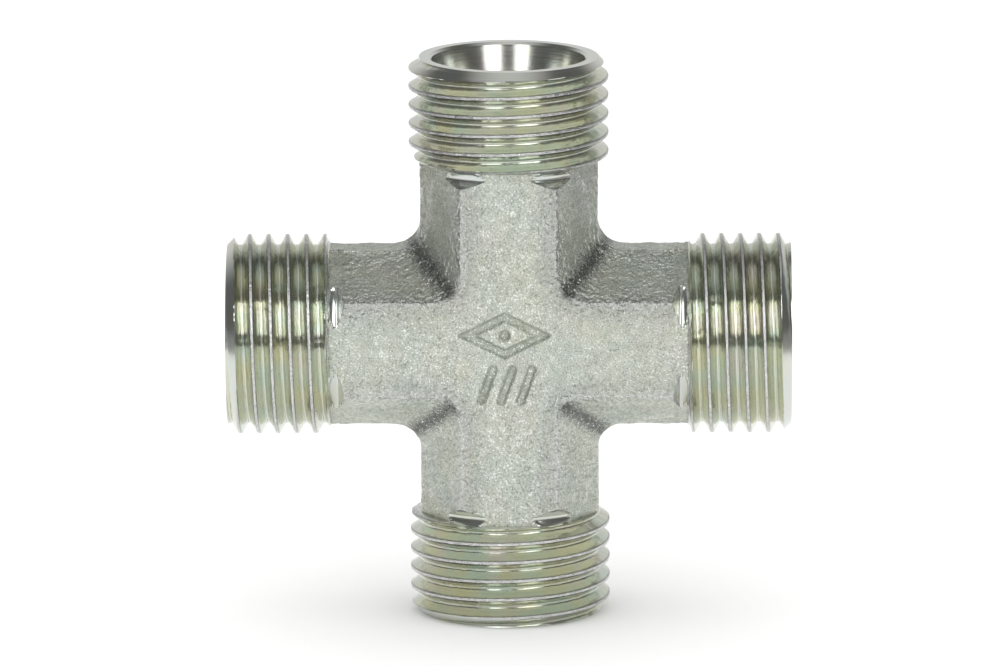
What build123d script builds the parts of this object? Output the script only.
from build123d import *
import math
import os

# Cross body of a 24 degree cone compression fitting, light series, for 10 mm tube.
# Origin: where the two passages cross. +X: right port, +Z: top port, Y: thickness.
# Every "from end" distance is measured inwards from a port's end face.

# Whole fitting
centre_to_end = 22.4

# Forged arms: an octagon across each arm, widest at the parting band
arm_half_width = 7.0
arm_half_thickness = 6.9
flat_half_width = 3.9
band_half_depth = 1.9
crotch_radius_band = 2.0
crotch_radius_flat = 2.6
flat_edge_radius = 0.7
band_edge_radius = 0.5

# Turned port
shoulder_from_end = 9.3
thread_end_from_end = 7.9
relief_radius = 7.08
end_face_radius = 7.15

# The turning tool's 45 degree flank, where it runs into the corners of the forged arms
lead_radius_at_shoulder = 7.43
lead_outer_radius = 8.2

# Thread, M16 x 1.5 right-hand, 60 degree flanks
thread_radius = 7.95
thread_root_radius = 7.14
thread_pitch = 1.5
thread_root_flat = 0.345
thread_flank_angle = 30.0
cutter_clearance = 0.13
groove_start_from_shoulder = 0.4

# Inside: 24 degree cone, tube socket, passage
cone_mouth_radius = 6.15
cone_half_angle = 12.0
mouth_edge_break = 0.2
socket_radius = 5.1
socket_stop_from_end = 7.0
bore_radius = 4.0

# How near a point must be to a level to count as on it
near = 0.01

shoulder = centre_to_end - shoulder_from_end
thread_end = centre_to_end - thread_end_from_end
run_out_radius = thread_radius - relief_radius
relief_end = thread_end - run_out_radius
chamfer_start = centre_to_end - (thread_radius - end_face_radius)
socket_stop = centre_to_end - socket_stop_from_end
cone_depth = (cone_mouth_radius - socket_radius) / math.tan(math.radians(cone_half_angle))
cone_start = centre_to_end - cone_depth
cone_top = centre_to_end - mouth_edge_break
cone_top_radius = cone_mouth_radius - mouth_edge_break * math.tan(math.radians(cone_half_angle))
lead_end = shoulder - (lead_outer_radius - lead_radius_at_shoulder)

# Groove cutter: wider than the groove is deep by the clearance, so it passes clear of the crest
groove_start = shoulder + groove_start_from_shoulder
groove_turns = 6.5
first_crest_from_end = (centre_to_end - groove_start - thread_pitch / 2) % thread_pitch
cutter_radius = thread_radius + cutter_clearance
root_half_width = thread_root_flat / 2
cutter_half_width = root_half_width + (cutter_radius - thread_root_radius) * math.tan(
    math.radians(thread_flank_angle)
)

slab_thickness = 2 * (thread_radius - arm_half_thickness)
slab_middle = arm_half_thickness + slab_thickness / 2

# name: (outward direction, side direction, crest distance from the end face on that side)
ports = {
    "threaded_port_right": ((1, 0, 0), (0, 0, 1), 1.0),
    "threaded_port_left": ((-1, 0, 0), (0, 0, 1), 1.81),
    "threaded_port_top": ((0, 0, 1), (-1, 0, 0), 2.35),
    "threaded_port_bottom": ((0, 0, -1), (-1, 0, 0), 2.05),
}

os.makedirs("parts", exist_ok=True)


def cross_outline(half_width, corner_radius):
    """Plus-shaped outline with arms up to the shoulders and rounded crotches."""
    Rectangle(2 * shoulder, 2 * half_width)
    Rectangle(2 * half_width, 2 * shoulder)
    crotches = [v for v in vertices() if max(abs(v.X), abs(v.Y)) < half_width + near]
    fillet(crotches, corner_radius)


def long_edges(part, depth):
    """Edges that run along the arms at this depth in front and behind, but not across their ends."""
    at_depth = part.edges().filter_by(lambda e: abs(abs(e.center().Y) - depth) < near)
    return at_depth.filter_by(lambda e: max(abs(e.center().X), abs(e.center().Z)) < shoulder - near)


# Forged cross body: a straight parting band, then bevels up to the front and back flats
with BuildPart() as forged_cross_body:
    for side in (-1, 1):
        band_plane = Plane(
            origin=(0, side * band_half_depth, 0), x_dir=(1, 0, 0), z_dir=(0, side, 0)
        )
        with BuildSketch(band_plane):
            cross_outline(arm_half_width, crotch_radius_band)
        extrude(amount=-band_half_depth)
        with BuildSketch(band_plane):
            cross_outline(arm_half_width, crotch_radius_band)
        with BuildSketch(band_plane.offset(arm_half_thickness - band_half_depth)):
            cross_outline(flat_half_width, crotch_radius_flat)
        loft(ruled=True)
    fillet(long_edges(forged_cross_body, arm_half_thickness), flat_edge_radius)
    fillet(long_edges(forged_cross_body, band_half_depth), band_edge_radius)

    for direction in ((1, 0, 0), (0, 0, 1)):
        with BuildSketch(Plane(origin=Vector(*direction) * -shoulder, z_dir=direction)):
            Circle(bore_radius)
        extrude(amount=2 * shoulder, mode=Mode.SUBTRACT)

    for end in (-shoulder, shoulder):
        lead = math.copysign(lead_end, end)
        with BuildSketch(Plane.XZ):
            with BuildLine():
                Polyline(
                    (lead_radius_at_shoulder, end),
                    (lead_outer_radius, end),
                    (lead_outer_radius, lead),
                    close=True,
                )
            make_face()
        revolve(axis=Axis.Z, mode=Mode.SUBTRACT)
        with BuildSketch(Plane.XZ):
            with BuildLine():
                Polyline(
                    (end, lead_radius_at_shoulder),
                    (end, lead_outer_radius),
                    (lead, lead_outer_radius),
                    close=True,
                )
            make_face()
        revolve(axis=Axis.X, mode=Mode.SUBTRACT)

forged_cross_body.part.label = "forged_cross_body"
export_step(forged_cross_body.part, "parts/forged_cross_body.step")


# One turned port along +Z, before it is placed and timed
with BuildPart() as turned_port:
    with BuildSketch(Plane.XZ):
        with BuildLine():
            Polyline(
                (relief_radius, relief_end),
                (relief_radius, shoulder),
                (bore_radius, shoulder),
                (bore_radius, socket_stop),
                (socket_radius, socket_stop),
                (socket_radius, cone_start),
                (cone_top_radius, cone_top),
                (cone_mouth_radius + mouth_edge_break, centre_to_end),
                (end_face_radius, centre_to_end),
                (thread_radius, chamfer_start),
                (thread_radius, thread_end),
            )
            RadiusArc((thread_radius, thread_end), (relief_radius, relief_end), run_out_radius)
        make_face()
    revolve(axis=Axis.Z)

    groove_path = Helix(
        thread_pitch,
        groove_turns * thread_pitch,
        thread_root_radius,
        center=(0, 0, groove_start),
        mode=Mode.PRIVATE,
    )
    with BuildSketch(Plane.XZ) as groove:
        with BuildLine():
            Polyline(
                (thread_root_radius, groove_start - root_half_width),
                (cutter_radius, groove_start - cutter_half_width),
                (cutter_radius, groove_start + cutter_half_width),
                (thread_root_radius, groove_start + root_half_width),
                close=True,
            )
        make_face()
    sweep(groove.sketch, path=groove_path, is_frenet=True, mode=Mode.SUBTRACT)

for name, (outward, sideways, crest_from_end) in ports.items():
    port_plane = Plane(origin=(0, 0, 0), x_dir=sideways, z_dir=outward)
    timing = 360 * (crest_from_end - first_crest_from_end) / thread_pitch
    placed_port = port_plane.location * Rotation(0, 0, timing) * turned_port.part

    with BuildPart() as port:
        add(placed_port)
        # The forged flats run on across the relief
        with BuildSketch(port_plane.offset(shoulder)):
            with Locations((0, slab_middle), (0, -slab_middle)):
                Rectangle(2 * thread_radius, slab_thickness)
        extrude(amount=relief_end - shoulder, mode=Mode.SUBTRACT)

    port.part.label = name
    export_step(port.part, f"parts/{name}.step")
